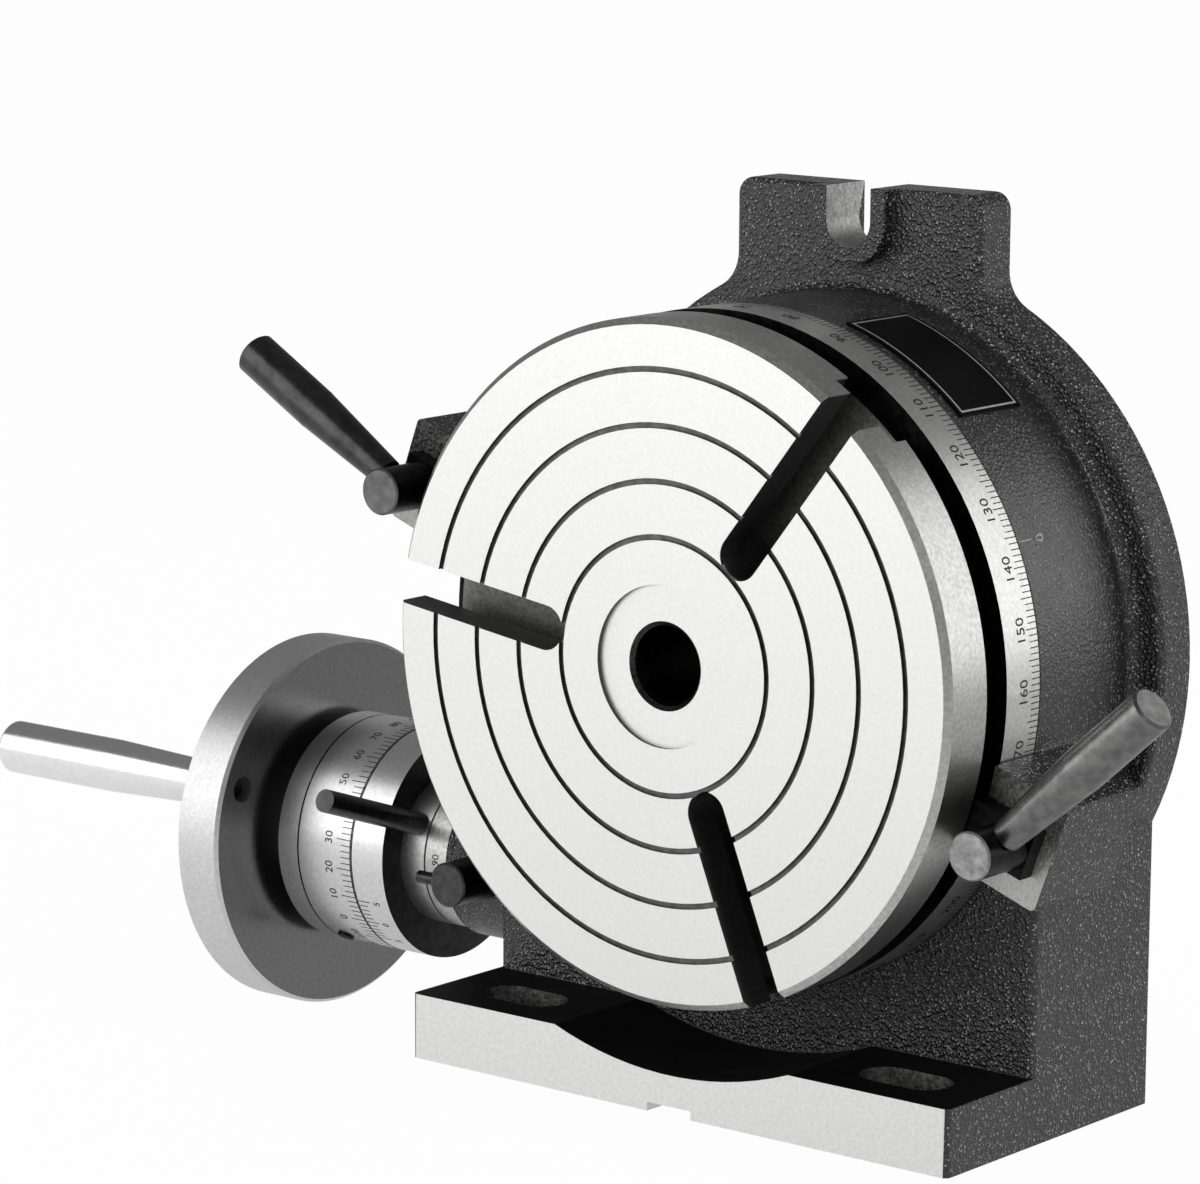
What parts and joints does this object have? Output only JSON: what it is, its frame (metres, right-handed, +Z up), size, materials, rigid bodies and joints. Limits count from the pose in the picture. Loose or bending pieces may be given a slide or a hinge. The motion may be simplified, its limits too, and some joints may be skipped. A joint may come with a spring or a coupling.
{
  "type": "rotary table",
  "caption": "Horizontal and vertical rotary table with T-slots, Morse taper centre, worm drive with dial, handwheel and crank, two table clamps, and a slotted foot and lug.",
  "frame": {"origin": "bottom face of the foot, at the middle of its width and depth", "axes": "+Z up, the table's working face looks along -Y, +X to the right seen from the table face; the worm shaft runs along X with its handwheel at -X"},
  "size_m": [0.34, 0.1003, 0.2067],
  "materials": {
    "cast_body": "black enamel over cast iron, machined faces bare",
    "nameplate": "blank black anodised plate",
    "clamp_dogs": "black oxide steel",
    "rear_washer": "ground",
    "clamp_pad": "turned",
    "table": "ground and turned bright iron",
    "worm_wheel": "hobbed bronze",
    "cap_screws": "black oxide",
    "nuts": "turned",
    "worm": "ground",
    "sleeve": "ground",
    "levers": "black oxide, worn",
    "clamp_bolts": "turned, dull",
    "dial": "satin chromed",
    "handwheel": "turned",
    "crank": "polished"
  },
  "bodies": {
    "base": {"base_casting": "cast_body", "nameplate": "nameplate", "clamp_dog_right": "clamp_dogs", "clamp_dog_left": "clamp_dogs", "spindle_washer": "rear_washer", "sleeve_clamp_pad": "clamp_pad"},
    "table": {"table_disc": "table", "worm_wheel": "worm_wheel", "wheel_screws": "cap_screws", "spindle_nut": "nuts", "spindle_nut_grubs": "cap_screws"},
    "sleeve": {"eccentric_sleeve": "sleeve", "eccentric_lever": "levers", "vernier_ring": "dial", "vernier_grubs": "cap_screws", "worm_washers": "nuts"},
    "worm": {"worm_shaft": "worm", "worm_lock_nuts": "nuts", "handwheel": "handwheel", "handwheel_key": "nuts", "handwheel_washer": "nuts", "handwheel_nut": "nuts", "crank_spindle": "crank"},
    "dial": {"graduated_dial": "dial", "dial_screw": "cap_screws"},
    "grip": {"crank_grip": "crank"},
    "right_clamp": {"clamp_bolt_right": "clamp_bolts", "clamp_handle_right": "levers"},
    "left_clamp": {"clamp_bolt_left": "clamp_bolts", "clamp_handle_left": "levers"},
    "sleeve_clamp": {"sleeve_clamp_screw": "clamp_bolts", "sleeve_clamp_pin": "levers"}
  },
  "joints": [
    {"name": "table_spin", "type": "hinge", "parent": "base", "child": "table", "pos_m": [0, -0.0413, 0.1], "axis": [0, 1, 0], "continuous": true},
    {"name": "sleeve_swing", "type": "hinge", "parent": "base", "child": "sleeve", "pos_m": [0, 0.0119, 0.03562], "axis": [-1, 0, 0], "range_deg": [0, 90]},
    {"name": "worm_spin", "type": "hinge", "parent": "sleeve", "child": "worm", "pos_m": [0, 0.0147, 0.03562], "axis": [1, 0, 0], "continuous": true},
    {"name": "dial_set", "type": "hinge", "parent": "worm", "child": "dial", "pos_m": [0, 0.0147, 0.03562], "axis": [1, 0, 0], "continuous": true},
    {"name": "grip_spin", "type": "hinge", "parent": "worm", "child": "grip", "pos_m": [0, -0.02036, 0.04922], "axis": [1, 0, 0], "continuous": true},
    {"name": "right_clamp_turn", "type": "hinge", "parent": "base", "child": "right_clamp", "pos_m": [0.08053, -0.0413, 0.07069], "axis": [0, -1, 0], "range_deg": [-30, 40]},
    {"name": "left_clamp_turn", "type": "hinge", "parent": "base", "child": "left_clamp", "pos_m": [-0.08053, -0.0413, 0.12931], "axis": [0, -1, 0], "range_deg": [-30, 110]},
    {"name": "sleeve_clamp_turn", "type": "hinge", "parent": "base", "child": "sleeve_clamp", "pos_m": [-0.0796, -0.0413, 0.03562], "axis": [0, -1, 0], "range_deg": [-60, 60]}
  ],
  "couplings": [
    {"joint": "table_spin", "follows": "worm_spin", "ratio": 0.011111}
  ]
}
